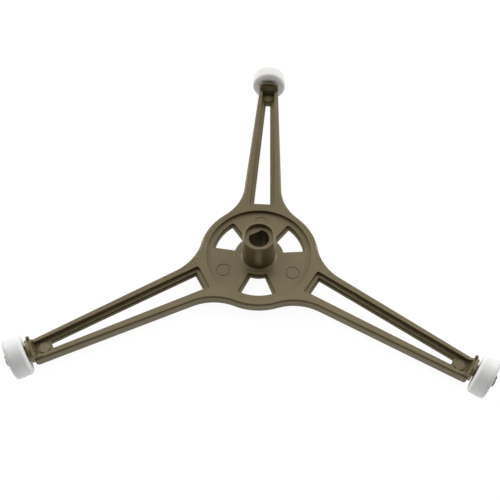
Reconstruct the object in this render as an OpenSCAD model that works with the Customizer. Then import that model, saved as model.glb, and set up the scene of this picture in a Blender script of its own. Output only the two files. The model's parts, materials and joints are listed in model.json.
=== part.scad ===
// Turntable support of a microwave oven: a moulded three-armed frame, turned by a D-shaped
// shaft in its hub, that runs on three rollers at the ends of its arms.
// Millimetres, +Z up. The origin is on the hub's axis, level with the frame's flat underside,
// and one arm points along +Y. The part stands on its rollers with the hub tube upwards.

/* [Reach and rollers] */
// Distance from the hub's axis to the outer face of each roller
reach = 89.6; // [80:0.1:120]
// Radius of a roller's tread
roller_r = 7; // [6:0.1:9]
// Width of a roller
roller_w = 5.7; // [4:0.1:7]
// Rounding of a roller's edges
roller_edge = 1.1; // [0.3:0.1:1.2]
// Height of the roller axis above the underside
axle_z = 4; // [3.5:0.1:4.5]
// Radius of the stub axles
axle_r = 2; // [1.6:0.05:2.4]
// Radial clearance of a roller's bore on its axle
axle_gap = 0.05; // [0.02:0.01:0.09]
// Free play between a roller and the collar behind it
collar_play = 0.6; // [0.2:0.05:0.8]
// Free play between a roller and the barb in front of it
barb_play = 0.1; // [0.1:0.05:0.4]
// How far the snap barb stands proud of the axle
barb_rise = 0.5; // [0.2:0.05:0.6]
// Length of the barb from its shoulder to the tip
barb_len = 0.8; // [0.6:0.05:1.4]
// Width of the slit that lets the barb spring shut
slit_w = 1.1; // [0.6:0.1:1.4]
// Depth of the slit from the axle's tip
slit_len = 5; // [3:0.1:5.5]

/* [Hub] */
// Height of the hub's lip above the underside
hub_h = 14.9; // [12:0.1:20]
// Outer radius of the hub tube at its lip
hub_r = 5.75; // [5.6:0.05:6.2]
// How much wider the tube is at its foot, as moulding draft
hub_draft = 0.2; // [0:0.05:0.6]
// Rounding of the lip
lip_edge = 0.3; // [0.1:0.05:0.35]
// Fillet where the tube meets the disc
hub_fillet = 0.5; // [0.3:0.1:1.2]
// Radius of the counterbore in the lip
counter_r = 4.95; // [4.5:0.05:5]
// Depth of the counterbore
counter_d = 1.5; // [0.5:0.1:3]
// Diameter of the drive shaft that the socket takes
shaft_d = 7; // [6:0.1:7.6]
// Thickness of the drive shaft over its flat
shaft_flat = 6; // [5.6:0.1:6.4]
// Clearance all round the drive shaft
shaft_gap = 0.1; // [0.05:0.01:0.2]
// Direction of the flat, seen from above
flat_angle = 120; // [0:5:355]

/* [Disc] */
// Thickness of the frame, from its underside to the rim's top
frame_h = 4; // [3.4:0.1:4.6]
// Radius of the three lobes of the disc
disc_r = 21.4; // [20.6:0.1:24]
// Radius of the sunk pocket inside the rim
pocket_r = 18.8; // [18:0.1:19.4]
// Depth of the pocket below the rim
pocket_d = 1.2; // [1:0.05:2]
// Radius of the hollow curve from each lobe into the arms
neck_r = 18; // [12:0.5:24]
// Rounding along the frame's upper edge
top_edge = 1; // [0.4:0.1:1.2]
// Rounding along the frame's lower edge
under_edge = 0.6; // [0.2:0.1:0.6]
// Depth of the hollow under the disc and the arms
under_d = 0.9; // [0.3:0.1:1]
// Width of the wall that runs round the hollow
under_wall = 1.8; // [1.4:0.1:2.2]
// Radius of the flat boss under the hub
boss_r = 7.3; // [6.8:0.1:7.8]
// Inner radius of the stepped windows at the pocket floor
window_in_r = 8.3; // [8:0.1:10]
// Outer radius of the windows at the pocket floor
window_out_r = 16.85; // [14:0.05:17]
// Width of a window at its inner corners
window_in_w = 6.5; // [4:0.1:7]
// Width of a window at its outer corners
window_out_w = 13.4; // [9:0.1:14]
// Rounding of the window corners
window_corner = 0.8; // [0.3:0.1:1.2]
// Depth of a window's step below the pocket floor
step_d = 1.05; // [0.4:0.05:1.2]
// Width of the step along a window's straight sides
step_side_w = 1; // [0.4:0.1:1.2]
// Width of the step along a window's two arcs
step_arc_w = 0.65; // [0.3:0.05:1]
// Rounding of the corners of the opening inside the step
hole_corner = 0.4; // [0.2:0.1:1]
// Distance of the ejector marks from the hub's axis
mark_s = 14.1; // [12:0.1:15]
// Diameter of the ejector marks
mark_d = 5.1; // [3:0.1:6]
// Width of the thin groove that rings an ejector mark
mark_line_w = 0.35; // [0.2:0.05:0.6]
// Depth of that groove
mark_line_d = 0.2; // [0.1:0.05:0.4]

/* [Arms] */
// Width of an arm where it leaves the disc
arm_w_hub = 15.1; // [13:0.1:17]
// Width of an arm at its tip
arm_w_tip = 8; // [7.6:0.1:9]
// Width of the rails beside the trough, at the hub end
rail_w_hub = 2.6; // [2:0.1:3.5]
// Width of the rails beside the trough, at the tip end
rail_w_tip = 1.6; // [1.4:0.1:2]
// Bridge between the disc's pocket and the trough
bridge_w = 2.65; // [2:0.05:4]
// Depth of the trough at the hub end
trough_d_hub = 1.4; // [1:0.1:2]
// Depth of the trough at the tip end
trough_d_tip = 2; // [1.2:0.1:2.4]
// Rounding of the trough's inner corners
trough_corner = 0.9; // [0.3:0.1:1.5]
// Ledge between the trough's sides and the slot
ledge_w = 1.2; // [0.6:0.1:1.4]
// Ledge between the trough's inner end and the slot
ledge_end = 1.4; // [0.8:0.1:2.5]
// Width of the lip low down in the slot
lip_w = 0.6; // [0.3:0.1:0.9]
// Height of the lip's upper face above the underside
lip_z = 1.5; // [1.2:0.1:1.5]
// Rounding of the slot's inner corners
slot_corner = 0.4; // [0.2:0.1:1]
// Solid floor between the slot and the end plate
tip_floor = 5; // [4.2:0.1:8]

/* [End plates] */
// Width of an end plate
plate_w = 6.7; // [6:0.1:7]
// Thickness of an end plate along its top
plate_top_t = 0.9; // [0.6:0.1:1.4]
// How much thicker the plate is at the trough floor
plate_draft = 0.7; // [0:0.1:1]
// Rise of the plate above the rim
plate_rise = 2.4; // [1.5:0.1:2.8]
// Radius of the round collar that spaces the roller
collar_r = 3.9; // [2.8:0.1:3.9]
// Thickness of the collar
collar_t = 0.7; // [0.4:0.1:1.5]
// Length of the cut corners under the plate
corner_cut = 0.85; // [0.5:0.05:1.2]
// Radius of the ball-ended pips on the plate's upper corners
pip_r = 0.6; // [0.4:0.05:0.7]
// Height of a pip's ball centre above the plate
pip_rise = 0.45; // [0.2:0.05:0.6]
// Diameter of the round pad in the trough floor
pad_d = 3.6; // [2:0.1:3.8]
// Rise of the pad above the trough floor
pad_rise = 0.6; // [0.1:0.05:0.8]

/* [Hidden] */
// Sides of a whole circle, and of the small arcs that round edges and corners
$fn = 96;
small_fn = 32;

frame_color = "#7b7157";
roller_color = "#e4e4e1";

// Directions of the arms and, halfway between them, of the windows
rear_angle = 90;
left_angle = 210;
right_angle = 330;
arm_angles = [rear_angle, left_angle, right_angle];
window_angles = [30, 150, 270];

// Cutters run past the faces they open by this much
over = 1;
// Parts of one moulding run into each other by this much
bite = 0.3;
// The end plate stands this far proud of the arm's cut end, and its rise starts this far below the rim
plate_proud = 0.15;
rise_sink = 0.05;
// A pip's post is thinner than its ball by this much
pip_neck = 0.1;
// Rounding arcs are larger than their radius by this factor, so that they cross the faces they round
arc_overrun = 1.005;
// The hollow curves bite this deep into the lobes and the arms' sides, and so cross them too
neck_bite = 0.01;

socket_r = shaft_d / 2 + shaft_gap;
socket_flat = shaft_flat - shaft_d / 2 + shaft_gap;
pocket_z = frame_h - pocket_d;
under_r = disc_r - under_wall;
hub_foot_r = hub_r + hub_draft;

// Stations along an arm, outwards from the hub's axis
roller_in = reach - roller_w;
collar_out = roller_in - collar_play;
plate_out = collar_out - collar_t;
plate_in = plate_out - plate_top_t;
trough_end = plate_in - plate_draft;
slot_end = trough_end - tip_floor;
trough_start = pocket_r + bridge_w;
slot_start = trough_start + ledge_end;
barb_start = reach + barb_play;
axle_tip = barb_start + barb_len;
pad_s = (slot_end + trough_end) / 2;
plate_top = frame_h + plate_rise;
rail_end = plate_out - corner_cut;
arm_end = plate_out - plate_proud;
pip_s = plate_in + pip_r / 2;
under_end = pad_s - pad_d / 2;

// The arm's side as a line: half-width at the hub's axis, and its slope
side_slope = (arm_w_tip - arm_w_hub) / 2 / (plate_out - disc_r);
side_base = arm_w_hub / 2 - side_slope * disc_r;
// The same for the trough's side
trough_slope = (arm_half(trough_end) - rail_w_tip - arm_half(trough_start) + rail_w_hub)
    / (trough_end - trough_start);
trough_base = arm_half(trough_start) - rail_w_hub - trough_slope * trough_start;
// The same for the slot's side
slot_base = trough_base - ledge_w;
// The same for a window's side, from its corner radii and widths
window_in_x = sqrt(pow(window_in_r, 2) - pow(window_in_w / 2, 2));
window_out_x = sqrt(pow(window_out_r, 2) - pow(window_out_w / 2, 2));
window_slope = (window_out_w - window_in_w) / 2 / (window_out_x - window_in_x);
window_base = window_in_w / 2 - window_slope * window_in_x;

// Hollow curve between a lobe and an arm, in the arm's own axes
neck_centre = tangent_centre(side_base, side_slope, neck_r, disc_r + neck_r);
neck_side = neck_centre - neck_r * side_normal(side_slope);
neck_cut_r = neck_r + neck_bite;
side_turn = atan(side_slope);

// Half-width of an arm at a station along it
function arm_half(s) = side_base + side_slope * s;

// Unit normal that points out of a side line of the given slope
function side_normal(slope) = [-slope, 1] / norm([slope, 1]);

// Centre at a distance from a side line and at a radius from the hub's axis
function tangent_centre(base, slope, distance, radius) =
    let (b = base + distance * norm([slope, 1]), k = 1 + slope * slope)
    let (x = (sqrt(k * radius * radius - b * b) - b * slope) / k)
    [x, b + slope * x];

// What rounds a corner of a cut: the corner outside an arc about the centre, between two side normals
module corner_cut(centre, normal_a, normal_b, r) {
    side = r + over;
    difference() {
        polygon([
            centre, centre + side * normal_a,
            centre + side * (normal_a + normal_b), centre + side * normal_b
        ]);
        translate(centre) circle(r * arc_overrun, $fn = small_fn);
    }
}

// A tapered channel seen from above, with two round corners at its inner end
module channel_plan(start, end, base, slope, corner) {
    centre = [start + corner, base + slope * (start + corner) - corner * norm([slope, 1])];
    difference() {
        polygon([
            [start, -base - slope * start], [start, base + slope * start],
            [end, base + slope * end], [end, -base - slope * end]
        ]);
        for (m = [0, 1]) mirror([0, m]) corner_cut(centre, [-1, 0], side_normal(slope), corner);
    }
}

// One window seen from above: a piece of a ring with straight sides and four round corners.
// The opening inside its step lies further in along the sides and along the arcs.
module window_plan(side_w, arc_w, corner) {
    base = window_base - side_w * norm([window_slope, 1]);
    in_r = window_in_r + arc_w;
    out_r = window_out_r - arc_w;
    inner = tangent_centre(base, window_slope, -corner, in_r + corner);
    outer = tangent_centre(base, window_slope, -corner, out_r - corner);
    near = window_in_x - over;
    far = out_r + over;
    difference() {
        intersection() {
            circle(out_r);
            polygon([
                [near, -base - window_slope * near], [near, base + window_slope * near],
                [far, base + window_slope * far], [far, -base - window_slope * far]
            ]);
        }
        circle(in_r);
        for (m = [0, 1]) mirror([0, m]) {
            corner_cut(inner, side_normal(window_slope), -inner / norm(inner), corner);
            corner_cut(outer, side_normal(window_slope), outer / norm(outer), corner);
        }
    }
}

// A stepped window: the wide cut down to the step, and the opening right through
module window() {
    translate([0, 0, pocket_z - step_d]) linear_extrude(frame_h)
        window_plan(0, 0, window_corner);
    translate([0, 0, -over]) linear_extrude(frame_h + over)
        window_plan(step_side_w, step_arc_w, hole_corner);
}

// What rounds an edge: the corner of a wall at x = 0 under a face at y = 0, outside an arc
module edge_profile(r) {
    difference() {
        translate([-r, -r]) square(r + over);
        translate([-r, -r]) circle(r * arc_overrun, $fn = small_fn);
    }
}

// The disc with its rounded edge: the arms' bodies run into it
module disc_body() {
    rotate_extrude() difference() {
        square([disc_r, frame_h]);
        translate([disc_r, frame_h]) edge_profile(top_edge);
        translate([disc_r, 0]) mirror([0, 1]) edge_profile(under_edge);
    }
}

// The hollow curve beside an arm's root, cut by a wheel whose rim leaves both edges rounded
module neck_cut() {
    translate(neck_centre) rotate_extrude() {
        translate([0, -over]) square([neck_cut_r, frame_h + 2 * over]);
        translate([neck_cut_r, frame_h]) mirror([1, 0]) edge_profile(top_edge);
        translate([neck_cut_r, 0]) mirror([1, 0]) mirror([0, 1]) edge_profile(under_edge);
    }
}

// What rounds the two edges of an arm's straight side
module side_cut() {
    translate(neck_side) rotate(side_turn) rotate([90, 0, 90])
        linear_extrude(plate_out + over - neck_side[0]) {
            translate([0, frame_h]) edge_profile(top_edge);
            mirror([0, 1]) edge_profile(under_edge);
        }
}

// One arm from the hub's axis to its cut end, with the webs beside its root cut to hollow necks
module necked_arm() {
    difference() {
        linear_extrude(frame_h) polygon([
            [0, 0], [neck_centre[0], -neck_centre[1]],
            [neck_side[0], -neck_side[1]], [rail_end, -arm_half(rail_end)],
            [arm_end, corner_cut - plate_proud - arm_half(rail_end)],
            [arm_end, arm_half(rail_end) - corner_cut + plate_proud],
            [rail_end, arm_half(rail_end)], neck_side,
            neck_centre
        ]);
        for (m = [0, 1]) mirror([0, m]) neck_cut();
    }
}

// The same arm with its straight sides rounded as well
module arm_body() {
    difference() {
        necked_arm();
        for (m = [0, 1]) mirror([0, m]) side_cut();
    }
}

// Puts a side view, drawn as station and height, upright along the arm
module side_view(width) {
    rotate([90, 0, 0]) linear_extrude(width, center = true) children();
}

// The trough in an arm's upper face: its floor falls towards the tip, its end leans outwards
module trough() {
    wide = arm_w_hub + over;
    intersection() {
        linear_extrude(plate_top + over)
            channel_plan(trough_start, plate_out, trough_base, trough_slope, trough_corner);
        side_view(wide) polygon([
            [trough_start - over, frame_h - trough_d_hub],
            [trough_start, frame_h - trough_d_hub],
            [trough_end, frame_h - trough_d_tip],
            [plate_in, plate_top],
            [plate_in, plate_top + over],
            [trough_start - over, plate_top + over]
        ]);
    }
}

// The slot in the trough's floor: the wide cut down to the lip, and the opening right through
module slot() {
    translate([0, 0, lip_z]) linear_extrude(frame_h)
        channel_plan(slot_start, slot_end, slot_base, trough_slope, slot_corner);
    translate([0, 0, -over]) linear_extrude(frame_h + over)
        channel_plan(slot_start + lip_w, slot_end, slot_base - lip_w, trough_slope, slot_corner);
}

// The shallow hollow under the disc, round the hub's boss
module disc_hollow() {
    rotate_extrude() translate([boss_r, -over]) square([under_r - boss_r, under_d + over]);
}

// The same hollow under one arm, between its two walls
module arm_hollow() {
    start = under_r - under_wall;
    translate([0, 0, -over]) linear_extrude(under_d + over) polygon([
        [start, under_wall - arm_half(start)], [under_end, under_wall - arm_half(under_end)],
        [under_end, arm_half(under_end) - under_wall], [start, arm_half(start) - under_wall]
    ]);
}

// The groove round an ejector mark in the pocket floor
module mark_groove() {
    translate([mark_s, 0, pocket_z - mark_line_d]) difference() {
        cylinder(h = frame_h, d = mark_d);
        translate([0, 0, -over]) cylinder(h = frame_h + 2 * over, d = mark_d - 2 * mark_line_w);
    }
}

// A pip on the plate's upper corner: a ball on a post
module pip() {
    translate([0, 0, -bite]) cylinder(h = bite + pip_rise, r = pip_r - pip_neck, $fn = small_fn);
    translate([0, 0, pip_rise]) sphere(pip_r, $fn = small_fn);
}

// The end plate above the rails, with the curved rise that leads up to it
module end_plate() {
    rise_r = plate_rise + rise_sink;
    rise_s = plate_in - rise_r;
    side_view(plate_w) difference() {
        translate([rise_s, 0]) square([plate_out - rise_s, plate_top]);
        translate([rise_s, plate_top]) circle(rise_r);
    }
}

// Stub axle with its collar and its split snap barb, along the arm from the end plate
module stub_axle() {
    translate([0, 0, axle_z]) rotate([0, 90, 0]) difference() {
        union() {
            translate([0, 0, plate_out - bite]) cylinder(h = collar_t + bite, r = collar_r);
            translate([0, 0, plate_out]) cylinder(h = axle_tip - plate_out, r = axle_r);
            translate([0, 0, barb_start])
                cylinder(h = barb_len, r1 = axle_r + barb_rise, r2 = axle_r - bite);
        }
        translate([-axle_r - over, -slit_w / 2, axle_tip - slit_len])
            cube([2 * (axle_r + over), slit_w, slit_len + over]);
        translate([0, 0, axle_tip - bite]) difference() {
            cylinder(h = over, r = axle_r + over);
            cylinder(h = over, r1 = axle_r, r2 = axle_r - over);
        }
    }
}

// Hub tube in section, with its rounded lip and the fillet at its foot
module hub_section() {
    difference() {
        polygon([
            [0, pocket_z - bite], [hub_foot_r + hub_fillet, pocket_z - bite],
            [hub_foot_r + hub_fillet, pocket_z + hub_fillet],
            [hub_foot_r, pocket_z + hub_fillet],
            [hub_r, hub_h], [0, hub_h]
        ]);
        translate([hub_foot_r + hub_fillet, pocket_z + hub_fillet]) circle(hub_fillet);
        translate([hub_r, hub_h]) edge_profile(lip_edge);
        translate([counter_r, hub_h]) mirror([1, 0]) edge_profile(lip_edge);
    }
}

// Drive socket: round, with a flat on the side that the shaft's flat faces
module socket_plan() {
    difference() {
        circle(socket_r);
        rotate(flat_angle) translate([socket_flat, -socket_r]) square(2 * socket_r);
    }
}

module frame() {
    color(frame_color) {
        difference() {
            union() {
                difference() {
                    union() {
                        disc_body();
                        for (a = arm_angles) rotate(a) {
                            arm_body();
                            end_plate();
                        }
                    }
                    translate([0, 0, pocket_z]) cylinder(h = pocket_d + over, r = pocket_r);
                    disc_hollow();
                    for (a = window_angles) rotate(a) window();
                    for (a = arm_angles) rotate(a) {
                        arm_hollow();
                        trough();
                        slot();
                        mark_groove();
                    }
                }
                rotate_extrude() hub_section();
            }
            translate([0, 0, -over]) linear_extrude(hub_h + 2 * over) socket_plan();
            translate([0, 0, hub_h - counter_d]) cylinder(h = counter_d + over, r = counter_r);
        }
        for (a = arm_angles) rotate(a) {
            stub_axle();
            translate([pad_s, 0, frame_h - trough_d_tip - bite])
                cylinder(h = bite + pad_rise, d = pad_d);
            for (y = [-1, 1]) translate([pip_s, y * plate_w / 2, plate_top]) pip();
        }
    }
}

// One roller on the axle of the arm at this angle
module roller(angle) {
    color(roller_color) rotate(angle)
        translate([roller_in, 0, axle_z]) rotate([0, 90, 0]) rotate_extrude()
            difference() {
                translate([axle_r + axle_gap, 0]) square([roller_r - axle_r - axle_gap, roller_w]);
                translate([roller_r, roller_w]) edge_profile(roller_edge);
                translate([roller_r, 0]) mirror([0, 1]) edge_profile(roller_edge);
            }
}

module roller_rear() {
    roller(rear_angle);
}

module roller_left() {
    roller(left_angle);
}

module roller_right() {
    roller(right_angle);
}

frame();
roller_rear();
roller_left();
roller_right();
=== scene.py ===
"""Dresses a microwave oven's turntable support: a moulded three-armed frame on three white rollers."""
import json
import math

import bmesh
import bpy
from mathutils import Matrix, Vector


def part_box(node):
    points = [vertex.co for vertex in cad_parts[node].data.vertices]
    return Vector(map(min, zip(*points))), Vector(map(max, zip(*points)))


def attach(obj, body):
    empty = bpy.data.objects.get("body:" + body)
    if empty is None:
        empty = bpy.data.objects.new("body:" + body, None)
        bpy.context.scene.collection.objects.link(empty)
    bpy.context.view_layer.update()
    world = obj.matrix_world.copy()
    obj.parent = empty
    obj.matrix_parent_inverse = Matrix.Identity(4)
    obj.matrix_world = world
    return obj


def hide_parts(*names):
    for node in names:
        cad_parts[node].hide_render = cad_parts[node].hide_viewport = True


bl_info = {
    "name": "Microwave turntable support",
    "version": (1, 0, 0),
    "blender": (4, 5, 0),
    "location": "View3D > Sidebar > Turntable support",
    "description": "Finishes the moulded frame and its rollers, and sets them on a studio floor",
    "category": "Object",
}

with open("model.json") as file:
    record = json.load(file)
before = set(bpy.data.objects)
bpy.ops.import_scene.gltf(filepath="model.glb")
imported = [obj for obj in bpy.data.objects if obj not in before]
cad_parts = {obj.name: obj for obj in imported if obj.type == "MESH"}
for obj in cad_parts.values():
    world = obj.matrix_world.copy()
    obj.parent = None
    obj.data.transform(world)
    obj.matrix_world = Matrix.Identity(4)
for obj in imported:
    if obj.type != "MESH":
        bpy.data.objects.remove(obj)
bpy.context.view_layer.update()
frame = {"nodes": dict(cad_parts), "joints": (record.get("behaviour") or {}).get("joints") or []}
MM = 0.001
# Points of a mesh that lie closer than this are one point
MERGE = 0.001 * MM
# The Mix node's inputs and its colour result by number, because several share one name
MIX_VALUES = (2, 3)
MIX_COLORS = (6, 7)
MIX_COLOR_RESULT = 2

# Where the object stands: the lowest line of its rollers
FLOOR_Z = min(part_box(name)[0].z for name in ("roller_rear", "roller_left", "roller_right"))
# The middle of each roller and its axle's direction, by the roller's name
ROLLER_SPOTS = {
    joint["child"]: (Vector(joint["pos_m"]), Vector(joint["axis"]).normalized())
    for joint in frame["joints"]
}


def hex_to_linear(text):
    """A colour written as sRGB hex, as the linear and opaque colour that a shader takes."""
    shares = [int(text[i:i + 2], 16) / 255 for i in (1, 3, 5)]
    linear = [c / 12.92 if c <= 0.04045 else ((c + 0.055) / 1.055) ** 2.4 for c in shares]
    return (*linear, 1.0)


class MouldedFrameSettings(bpy.types.PropertyGroup):
    """What a user would change on the moulded frame."""

    color: bpy.props.StringProperty(
        name="Colour", description="Colour of the plastic, as sRGB hex", default="#665b3f")
    fleck_color: bpy.props.StringProperty(
        name="Fleck colour", description="Lighter tone of the fine flow marks, as sRGB hex",
        default="#6f6448")
    gloss_color: bpy.props.StringProperty(
        name="Gloss colour", description="Tint that the bronze pigment gives the gloss, as sRGB hex",
        default="#fff4e0")
    roughness: bpy.props.FloatProperty(
        name="Roughness", description="How matt the moulded surface is", default=0.29,
        min=0.05, max=1.0, subtype="FACTOR")
    pigment: bpy.props.FloatProperty(
        name="Bronze pigment", description="Share of the gloss that the metallic pigment carries",
        default=0.18, min=0.0, max=1.0, subtype="FACTOR")
    grain_mm: bpy.props.FloatProperty(
        name="Grain", description="Spacing of the mould's eroded grain, in millimetres",
        default=0.35, min=0.05, max=2.0)
    grain_depth: bpy.props.FloatProperty(
        name="Grain depth", description="Strength of the grain's relief", default=0.12,
        min=0.0, max=1.0, subtype="FACTOR")
    edge_round: bpy.props.FloatProperty(
        name="Edge rounding", description="Radius that the mould leaves on a crisp edge",
        default=0.16 * MM, min=0.0, max=0.5 * MM, unit="LENGTH", precision=5)


class RollerSettings(bpy.types.PropertyGroup):
    """What a user would change on the rollers."""

    color: bpy.props.StringProperty(
        name="Colour", description="Colour of the white plastic, as sRGB hex", default="#e9e9e7")
    roughness: bpy.props.FloatProperty(
        name="Roughness", description="How matt the roller is", default=0.38,
        min=0.05, max=1.0, subtype="FACTOR")
    bore: bpy.props.FloatProperty(
        name="Bore radius", description="Radius of the hole that runs on the axle",
        default=2.05 * MM, min=1.5 * MM, max=3 * MM, unit="LENGTH", precision=5)
    edge_round: bpy.props.FloatProperty(
        name="Edge rounding", description="Radius of the tread's two edges",
        default=1.1 * MM, min=0.1 * MM, max=1.5 * MM, unit="LENGTH", precision=5)
    mouth_round: bpy.props.FloatProperty(
        name="Mouth rounding", description="Radius at the mouths of the bore",
        default=0.15 * MM, min=0.0, max=0.4 * MM, unit="LENGTH", precision=5)


class StudioSettings(bpy.types.PropertyGroup):
    """What a user would change on the lamps, the room and the floor."""

    top_power: bpy.props.FloatProperty(
        name="Top lamp", description="Power of the broad lamp overhead",
        default=3.6, min=0.0, max=100.0, unit="POWER")
    corner_power: bpy.props.FloatProperty(
        name="Corner lamps", description="Power of each lamp at the back corners",
        default=5.1, min=0.0, max=100.0, unit="POWER")
    back_power: bpy.props.FloatProperty(
        name="Back lamp", description="Power of the lamp behind the object",
        default=3.3, min=0.0, max=100.0, unit="POWER")
    room: bpy.props.FloatProperty(
        name="Room", description="Strength of the dim room all round",
        default=0.06, min=0.0, max=4.0)
    floor_bounce: bpy.props.FloatProperty(
        name="Floor bounce", description="Share of the lamps' light that the floor throws back up",
        default=0.8, min=0.0, max=0.9, subtype="FACTOR")
    floor_glow: bpy.props.FloatProperty(
        name="Floor glow",
        description="Light that the open floor adds from below, fading close to the object",
        default=0.5, min=0.0, max=4.0)
    floor_white: bpy.props.FloatProperty(
        name="Floor white", description="Strength of the plain white that the camera sees on the floor",
        default=1.1, min=0.0, max=4.0)
    shadow_depth: bpy.props.FloatProperty(
        name="Shadow depth", description="How much of the floor's own shading the camera sees",
        default=0.14, min=0.0, max=1.0, subtype="FACTOR")


def new_material(name):
    """An empty node material, its tree of nodes and its output node."""
    material = bpy.data.materials.new(name)
    material.use_nodes = True
    tree = material.node_tree
    tree.nodes.clear()
    output = tree.nodes.new("ShaderNodeOutputMaterial")
    return material, tree, output


def add_node(tree, kind, inputs=(), **settings):
    """Adds one node. Settings are the node's own values, and inputs gives each socket a value or
    links it to another socket."""
    node = tree.nodes.new(kind)
    for key, value in settings.items():
        setattr(node, key, value)
    for key, value in dict(inputs).items():
        if isinstance(value, bpy.types.NodeSocket):
            tree.links.new(value, node.inputs[key])
        else:
            node.inputs[key].default_value = value
    return node


def moulded_plastic(settings):
    """Glass-filled moulding compound with a little bronze pigment, from an eroded mould. The filler
    makes it glossier than plain plastic, the pigment tints that gloss, and a fine even grain breaks
    it up to a dull satin. Faint lighter flow marks run through it."""
    flow_mm, speck_mm, relief_mm = 9, 0.5, 0.03
    filled_ior = 1.72
    # The product of the two noises lies mostly between these values
    low_mark, high_mark = 0.15, 0.4
    material, tree, output = new_material("Moulded khaki-bronze plastic")
    place = add_node(tree, "ShaderNodeTexCoord").outputs["Object"]
    flow = add_node(tree, "ShaderNodeTexNoise", {
        "Vector": place, "Scale": 1 / (flow_mm * MM), "Detail": 3.0, "Roughness": 0.55})
    speck = add_node(tree, "ShaderNodeTexNoise", {
        "Vector": place, "Scale": 1 / (speck_mm * MM), "Detail": 2.0, "Roughness": 0.6})
    both = add_node(tree, "ShaderNodeMath", {0: flow.outputs["Fac"], 1: speck.outputs["Fac"]},
                    operation="MULTIPLY")
    share = add_node(tree, "ShaderNodeMapRange", {
        "Value": both.outputs[0], "From Min": low_mark, "From Max": high_mark})
    tone = add_node(tree, "ShaderNodeMix", {
        "Factor": share.outputs[0],
        MIX_COLORS[0]: hex_to_linear(settings.color),
        MIX_COLORS[1]: hex_to_linear(settings.fleck_color)}, data_type="RGBA")
    # The real grain is finer than the picture can show, so it is drawn as coarse as it needs to be
    grain = add_node(tree, "ShaderNodeTexNoise", {
        "Vector": place, "Scale": 1 / (settings.grain_mm * MM), "Detail": 2.0, "Roughness": 0.5})
    eased = add_node(tree, "ShaderNodeBevel", {"Radius": settings.edge_round}, samples=6)
    relief = add_node(tree, "ShaderNodeBump", {
        "Height": grain.outputs["Fac"], "Strength": settings.grain_depth,
        "Distance": relief_mm * MM, "Normal": eased.outputs[0]})
    shader = add_node(tree, "ShaderNodeBsdfPrincipled", {
        "Base Color": tone.outputs[MIX_COLOR_RESULT], "Metallic": settings.pigment,
        "Roughness": settings.roughness, "IOR": filled_ior,
        "Specular Tint": hex_to_linear(settings.gloss_color),
        "Normal": relief.outputs[0]})
    tree.links.new(shader.outputs[0], output.inputs["Surface"])
    return material


def roller_plastic(settings):
    """White acetal from a polished mould: smooth, slightly waxy, and a little light passes through
    its skin."""
    ripple_mm, ripple_depth, relief_mm, skin_mm = 1.5, 0.05, 0.03, 0.6
    acetal_ior, unevenness = 1.48, 0.04
    material, tree, output = new_material("White acetal")
    place = add_node(tree, "ShaderNodeTexCoord").outputs["Object"]
    ripple = add_node(tree, "ShaderNodeTexNoise", {
        "Vector": place, "Scale": 1 / (ripple_mm * MM), "Detail": 2.0})
    relief = add_node(tree, "ShaderNodeBump", {
        "Height": ripple.outputs["Fac"], "Strength": ripple_depth,
        "Distance": relief_mm * MM})
    gloss = add_node(tree, "ShaderNodeMapRange", {
        "Value": ripple.outputs["Fac"], "To Min": settings.roughness - unevenness,
        "To Max": settings.roughness + unevenness})
    shader = add_node(tree, "ShaderNodeBsdfPrincipled", {
        "Base Color": hex_to_linear(settings.color), "Roughness": gloss.outputs[0],
        "IOR": acetal_ior, "Subsurface Weight": 0.15, "Subsurface Scale": skin_mm * MM,
        "Normal": relief.outputs[0]})
    tree.links.new(shader.outputs[0], output.inputs["Surface"])
    return material


def piece_from(bm, name, material):
    """Turns a bmesh into an object at the origin, with its material, and adds it to the scene."""
    mesh = bpy.data.meshes.new(name)
    bm.to_mesh(mesh)
    bm.free()
    mesh.materials.append(material)
    piece = bpy.data.objects.new(name, mesh)
    bpy.context.scene.collection.objects.link(piece)
    return piece


def make_moulding(settings):
    """The frame's moulding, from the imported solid: its flat facets are merged, its curves are smooth,
    and only its crisp edges stay sharp."""
    flat_angle, crisp_angle = math.radians(0.3), math.radians(32)
    bm = bmesh.new()
    bm.from_mesh(frame["nodes"]["frame"].data)
    bmesh.ops.remove_doubles(bm, verts=bm.verts, dist=MERGE)
    bmesh.ops.dissolve_limit(
        bm, angle_limit=flat_angle, verts=bm.verts, edges=bm.edges, delimit={"NORMAL"})
    for face in bm.faces:
        face.smooth = True
    for edge in bm.edges:
        edge.smooth = edge.is_manifold and edge.calc_face_angle() < crisp_angle
    piece = piece_from(bm, "moulded_frame", moulded_plastic(settings))
    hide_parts("frame")
    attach(piece, "frame")


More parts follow.
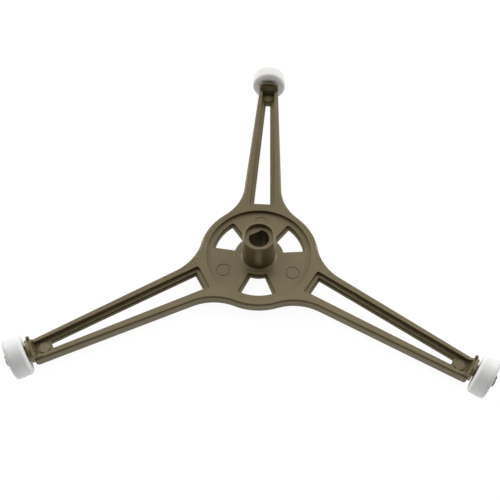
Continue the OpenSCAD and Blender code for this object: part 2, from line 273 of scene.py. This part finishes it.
def make_roller(node, settings, material):
    """One roller: its section is drawn, its corners are rounded, and it is spun into a ring that is
    then turned and moved onto its axle."""
    edge_steps, mouth_steps, spin_steps = 8, 2, 96
    crisp_angle = math.radians(40)
    spot, axis = ROLLER_SPOTS[node]
    low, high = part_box(node)
    radius = (high.z - low.z) / 2
    mesh = frame["nodes"][node].data
    along = [axis.dot(v.co - spot) for v in mesh.vertices]
    inner, outer = min(along), max(along)
    bm = bmesh.new()
    section = [
        bm.verts.new((r, 0, s)) for r, s in (
            (settings.bore, inner), (radius, inner), (radius, outer), (settings.bore, outer))
    ]
    bm.faces.new(section)
    for corners, size, steps in ((section[1:3], settings.edge_round, edge_steps),
                                 ((section[0], section[3]), settings.mouth_round, mouth_steps)):
        bmesh.ops.bevel(bm, geom=list(corners), offset=size, offset_type="OFFSET", affect="VERTICES",
                        segments=steps, profile=0.5, material=-1)
    bmesh.ops.delete(bm, geom=list(bm.faces), context="FACES_ONLY")
    bmesh.ops.spin(bm, geom=[*bm.verts, *bm.edges], cent=(0, 0, 0), axis=(0, 0, 1),
                   angle=2 * math.pi, steps=spin_steps, use_merge=True, use_duplicate=False)
    bmesh.ops.remove_doubles(bm, verts=bm.verts, dist=MERGE)
    bmesh.ops.recalc_face_normals(bm, faces=bm.faces)
    turn = Vector((0, 0, 1)).rotation_difference(axis).to_matrix().to_4x4()
    bmesh.ops.transform(bm, matrix=Matrix.Translation(spot) @ turn, verts=bm.verts)
    for face in bm.faces:
        face.smooth = True
    for edge in bm.edges:
        edge.smooth = edge.calc_face_angle(0) < crisp_angle
    piece = piece_from(bm, node + "_moulding", material)
    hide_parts(node)
    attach(piece, node)


class TURNTABLE_OT_frame(bpy.types.Operator):
    """Makes the moulded frame with its eased edges and its plastic"""

    bl_idname = "turntable.frame"
    bl_label = "Moulded frame"

    def execute(self, context):
        make_moulding(context.scene.turntable_frame)
        return {"FINISHED"}


class TURNTABLE_OT_rollers(bpy.types.Operator):
    """Makes the three white rollers on their axles"""

    bl_idname = "turntable.rollers"
    bl_label = "Rollers"

    def execute(self, context):
        settings = context.scene.turntable_rollers
        material = roller_plastic(settings)
        for node in ROLLER_SPOTS:
            make_roller(node, settings, material)
        return {"FINISHED"}


def make_camera():
    """The photograph's view, as fitted to the object: direction, distance, lens and framing."""
    azimuth, elevation, roll = math.radians(-1.334), math.radians(56.029), math.radians(3.633)
    distance, aim = 246.825 * MM, Vector((9.094, 6.771, 4.0)) * MM
    focal_px, centre_px, image_px = 679.0, (284.91, 238.32), 500
    back = Vector((
        math.sin(azimuth) * math.cos(elevation),
        -math.cos(azimuth) * math.cos(elevation),
        math.sin(elevation)))
    right = Vector((0, 0, 1)).cross(back).normalized()
    up = back.cross(right)
    rolled_right = math.cos(roll) * right + math.sin(roll) * up
    rolled_up = math.cos(roll) * up - math.sin(roll) * right
    data = bpy.data.cameras.new("Camera")
    data.sensor_width = 36
    data.lens = focal_px / image_px * data.sensor_width
    data.shift_x = (image_px / 2 - centre_px[0]) / image_px
    data.shift_y = (centre_px[1] - image_px / 2) / image_px
    data.clip_start, data.clip_end = 10 * MM, 20.0
    camera = bpy.data.objects.new("Camera", data)
    turn = Matrix((rolled_right, rolled_up, back)).transposed().to_4x4()
    camera.matrix_world = Matrix.Translation(aim + back * distance) @ turn
    bpy.context.scene.collection.objects.link(camera)
    bpy.context.scene.camera = camera


def make_floor(settings):
    """A wide white floor. It throws the lamps' light back up and glows a little where it lies open,
    which lights the outer walls from below. The camera sees it as nearly plain white, with a faint
    shadow of the object."""
    half_width, glow_reach, paper_white = 2.5, 30 * MM, 0.9
    bm = bmesh.new()
    bmesh.ops.create_grid(bm, x_segments=1, y_segments=1, size=half_width)
    bmesh.ops.translate(bm, verts=bm.verts, vec=(0, 0, FLOOR_Z))
    material, tree, output = new_material("Studio floor")
    matt = add_node(tree, "ShaderNodeBsdfDiffuse", {"Color": (*[settings.floor_bounce] * 3, 1.0)})
    # The floor's glow is painted light that only bounce rays see, and its fading close to the object is
    # a painted shadow of the object
    open_share = add_node(tree, "ShaderNodeAmbientOcclusion", {"Distance": glow_reach}, samples=8)
    strength = add_node(tree, "ShaderNodeMath", {
        0: open_share.outputs["AO"], 1: settings.floor_glow}, operation="MULTIPLY")
    glow = add_node(tree, "ShaderNodeEmission", {"Strength": strength.outputs[0]})
    lighting = add_node(tree, "ShaderNodeAddShader", {0: matt.outputs[0], 1: glow.outputs[0]})
    paper = add_node(tree, "ShaderNodeBsdfDiffuse", {"Color": (*[paper_white] * 3, 1.0)})
    white = add_node(tree, "ShaderNodeEmission", {"Strength": settings.floor_white})
    shown = add_node(tree, "ShaderNodeMixShader", {
        0: settings.shadow_depth, 1: white.outputs[0], 2: paper.outputs[0]})
    ray = add_node(tree, "ShaderNodeLightPath")
    both = add_node(tree, "ShaderNodeMixShader", {
        0: ray.outputs["Is Camera Ray"], 1: lighting.outputs[0], 2: shown.outputs[0]})
    tree.links.new(both.outputs[0], output.inputs["Surface"])
    floor = piece_from(bm, "studio_floor", material)


def make_world(settings):
    """A dim room all round, plain white where the camera looks. No piece is of metal or glass, so
    gloss shows the dim room and not that white."""
    world = bpy.data.worlds.new("Studio")
    bpy.context.scene.world = world
    world.use_nodes = True
    tree = world.node_tree
    tree.nodes.clear()
    output = tree.nodes.new("ShaderNodeOutputWorld")
    ray = add_node(tree, "ShaderNodeLightPath")
    shown = add_node(tree, "ShaderNodeMix", {
        "Factor": ray.outputs["Is Camera Ray"],
        MIX_VALUES[0]: settings.room, MIX_VALUES[1]: 1.0})
    sky = add_node(tree, "ShaderNodeBackground", {
        "Color": (1.0, 1.0, 1.0, 1.0), "Strength": shown.outputs[0]})
    tree.links.new(sky.outputs[0], output.inputs["Surface"])


def make_lamps(settings):
    """Soft lamps overhead, behind and at the two back corners, all turned towards the object."""
    distance = 1.0
    # Each lamp's name, power, angle round from +X and angle up in degrees, width and height in metres
    lamps = (
        ("Top lamp", settings.top_power, 100, 80, 0.95, 0.95),
        ("Left corner lamp", settings.corner_power, 149, 31, 0.57, 0.57),
        ("Right corner lamp", settings.corner_power, 30, 30, 0.57, 0.57),
        ("Back lamp", settings.back_power, 89, 23, 0.95, 0.7),
    )
    for name, power, azimuth, elevation, width, height in lamps:
        data = bpy.data.lights.new(name, "AREA")
        data.shape = "RECTANGLE"
        data.size, data.size_y = width, height
        data.energy = power
        lamp = bpy.data.objects.new(name, data)
        turn, rise = math.radians(azimuth), math.radians(elevation)
        toward = Vector((
            math.cos(rise) * math.cos(turn), math.cos(rise) * math.sin(turn), math.sin(rise)))
        lamp.location = toward * distance
        lamp.rotation_euler = toward.to_track_quat("Z", "Y").to_euler()
        bpy.context.scene.collection.objects.link(lamp)


class TURNTABLE_OT_stage(bpy.types.Operator):
    """Makes the camera, the floor, the surroundings and the lamps"""

    bl_idname = "turntable.stage"
    bl_label = "Studio"

    def execute(self, context):
        settings = context.scene.turntable_studio
        make_camera()
        make_floor(settings)
        make_world(settings)
        make_lamps(settings)
        context.scene.view_settings.view_transform = "Standard"
        return {"FINISHED"}


class TURNTABLE_PT_panel(bpy.types.Panel):
    """Lists the pieces and the stage in the sidebar"""

    bl_idname = "TURNTABLE_PT_panel"
    bl_label = "Turntable support"
    bl_space_type = "VIEW_3D"
    bl_region_type = "UI"
    bl_category = "Turntable support"

    def draw(self, context):
        layout = self.layout
        for operator, group in PANEL_ROWS:
            box = layout.box()
            box.operator(operator)
            settings = getattr(context.scene, group)
            for name in settings.bl_rna.properties.keys():
                if name not in {"rna_type", "name"}:
                    box.prop(settings, name)


# Each operator and the settings that the panel shows under it
PANEL_ROWS = (
    ("turntable.stage", "turntable_studio"),
    ("turntable.frame", "turntable_frame"),
    ("turntable.rollers", "turntable_rollers"),
)
CLASSES = (
    MouldedFrameSettings, RollerSettings, StudioSettings,
    TURNTABLE_OT_stage, TURNTABLE_OT_frame, TURNTABLE_OT_rollers, TURNTABLE_PT_panel,
)
GROUPS = {
    "turntable_frame": MouldedFrameSettings,
    "turntable_rollers": RollerSettings,
    "turntable_studio": StudioSettings,
}


def register():
    """Registers the classes and gives the scene its settings."""
    for cls in CLASSES:
        bpy.utils.register_class(cls)
    for name, group in GROUPS.items():
        setattr(bpy.types.Scene, name, bpy.props.PointerProperty(type=group))


def unregister():
    """Takes the settings and the classes away again."""
    for name in GROUPS:
        delattr(bpy.types.Scene, name)
    for cls in reversed(CLASSES):
        bpy.utils.unregister_class(cls)


def main():
    """Makes the stage and the pieces in order."""
    register()
    bpy.ops.turntable.stage()
    bpy.ops.turntable.frame()
    bpy.ops.turntable.rollers()


if __name__ == "__main__":
    main()
